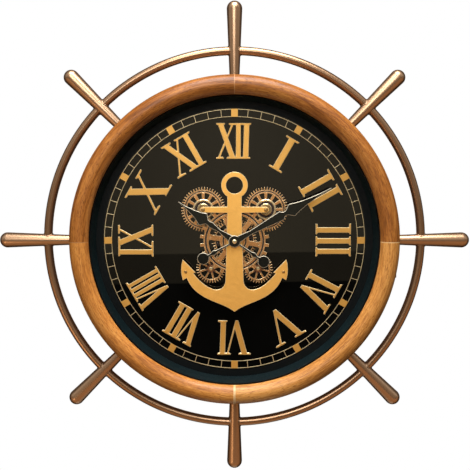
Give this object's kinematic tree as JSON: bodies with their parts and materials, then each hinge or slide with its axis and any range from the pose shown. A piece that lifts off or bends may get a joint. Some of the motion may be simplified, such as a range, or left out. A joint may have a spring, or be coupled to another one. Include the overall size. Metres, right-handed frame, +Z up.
{
  "type": "ship wheel clock",
  "caption": "Wall clock shaped like a ship's wheel: tapered handles on a rod rim, hinged wooden bezel with glass, dark dial with an anchor, hands and open turning gears.",
  "frame": {"origin": "on the flat back of the back cover, at the axis of the hands, where the clock lies against the wall", "axes": "+Z up, +X to the right seen from the front, +Y into the wall, so the dial looks towards -Y"},
  "size_m": [0.7, 0.0645, 0.7],
  "materials": {
    "bronze": "satin antique bronze plating",
    "cover": "matt black sheet",
    "steel": "bare zinc-plated steel",
    "dial": "satin black paint",
    "dial_ring": "dark blue-green paint",
    "bezel_wood": "varnished, grain along the arc",
    "glass": "flat clear pane",
    "retainer": "matt black paint",
    "gears": "satin copper plating",
    "brass": "turned brass",
    "anchor": "satin gold plating",
    "hands": "gloss black lacquer with bright bevelled edges",
    "casing": "moulded black plastic",
    "battery": "plain sleeve round a metal can"
  },
  "bodies": {
    "case": {"handle_1": "bronze", "handle_2": "bronze", "handle_3": "bronze", "handle_4": "bronze", "handle_5": "bronze", "handle_6": "bronze", "handle_7": "bronze", "handle_8": "bronze", "rim_arc_1": "bronze", "rim_arc_2": "bronze", "rim_arc_3": "bronze", "rim_arc_4": "bronze", "rim_arc_5": "bronze", "rim_arc_6": "bronze", "rim_arc_7": "bronze", "rim_arc_8": "bronze", "case_drum": "bronze", "back_cover": "cover", "hanger_plate": "steel", "dial_plate": "dial", "dial_ring": "dial_ring", "upper_post_left": "brass", "upper_post_right": "brass", "lower_post_left": "gears", "lower_post_right": "gears", "anchor_plate": "anchor", "stock_screw_left": "steel", "stock_screw_right": "steel", "fluke_standoff_left": "brass", "fluke_standoff_right": "brass", "fluke_screw_left": "steel", "fluke_screw_right": "steel", "movement_case": "casing", "movement_battery": "battery", "motor_case": "casing", "motor_battery": "battery", "hinge_case_leaf": "bronze", "hinge_pin": "steel"},
    "bezel_door": {"wood_arc_1": "bezel_wood", "wood_arc_2": "bezel_wood", "wood_arc_3": "bezel_wood", "wood_arc_4": "bezel_wood", "glass_pane": "glass", "glass_retainer": "retainer", "catch_magnet": "steel", "hinge_door_leaf": "bronze"},
    "gear_train": {"main_gear": "gears", "centre_wheel": "gears", "gear_arbor": "brass"},
    "upper_wheel_left": {"upper_wheel_left": "gears"},
    "upper_wheel_right": {"upper_wheel_right": "gears"},
    "lower_wheel_left": {"lower_wheel_left": "gears"},
    "lower_wheel_right": {"lower_wheel_right": "gears"},
    "motor_wheel": {"motor_wheel": "brass"},
    "minute_hand": {"minute_hand": "hands", "minute_arbor": "steel", "hand_nut": "brass"},
    "hour_hand": {"hour_hand": "hands", "hour_pipe": "brass"},
    "setting_knob": {"setting_knob": "casing"}
  },
  "joints": [
    {"name": "bezel_hinge", "type": "hinge", "parent": "case", "child": "bezel_door", "pos_m": [0.2378, -0.031, -0.0355], "axis": [0, 0, 1], "range_deg": [0, 90]},
    {"name": "gear_train_spin", "type": "hinge", "parent": "case", "child": "gear_train", "pos_m": [0, -0.03, 0], "axis": [0, 1, 0], "continuous": true},
    {"name": "upper_wheel_left_spin", "type": "hinge", "parent": "case", "child": "upper_wheel_left", "pos_m": [-0.04616, -0.029, 0.04616], "axis": [0, 1, 0], "continuous": true},
    {"name": "upper_wheel_right_spin", "type": "hinge", "parent": "case", "child": "upper_wheel_right", "pos_m": [0.04616, -0.029, 0.04616], "axis": [0, 1, 0], "continuous": true},
    {"name": "lower_wheel_left_spin", "type": "hinge", "parent": "case", "child": "lower_wheel_left", "pos_m": [-0.03497, -0.029, -0.04167], "axis": [0, 1, 0], "continuous": true},
    {"name": "lower_wheel_right_spin", "type": "hinge", "parent": "case", "child": "lower_wheel_right", "pos_m": [0.03497, -0.029, -0.04167], "axis": [0, 1, 0], "continuous": true},
    {"name": "motor_wheel_spin", "type": "hinge", "parent": "case", "child": "motor_wheel", "pos_m": [-0.0544, -0.022, 0], "axis": [0, 1, 0], "continuous": true},
    {"name": "minute_hand_turn", "type": "hinge", "parent": "case", "child": "minute_hand", "pos_m": [0, -0.045, 0], "axis": [0, 1, 0], "continuous": true},
    {"name": "hour_hand_turn", "type": "hinge", "parent": "case", "child": "hour_hand", "pos_m": [0, -0.043, 0], "axis": [0, 1, 0], "continuous": true},
    {"name": "setting_knob_turn", "type": "hinge", "parent": "case", "child": "setting_knob", "pos_m": [0, -0.002, 0.014], "axis": [0, 1, 0], "continuous": true}
  ],
  "couplings": [
    {"joint": "upper_wheel_left_spin", "follows": "gear_train_spin", "ratio": -1},
    {"joint": "upper_wheel_right_spin", "follows": "gear_train_spin", "ratio": -1},
    {"joint": "lower_wheel_left_spin", "follows": "gear_train_spin", "ratio": -1.5},
    {"joint": "lower_wheel_right_spin", "follows": "gear_train_spin", "ratio": -1.5},
    {"joint": "motor_wheel_spin", "follows": "gear_train_spin", "ratio": -1.5},
    {"joint": "hour_hand_turn", "follows": "minute_hand_turn", "ratio": 0.083333},
    {"joint": "setting_knob_turn", "follows": "minute_hand_turn", "ratio": -1}
  ]
}
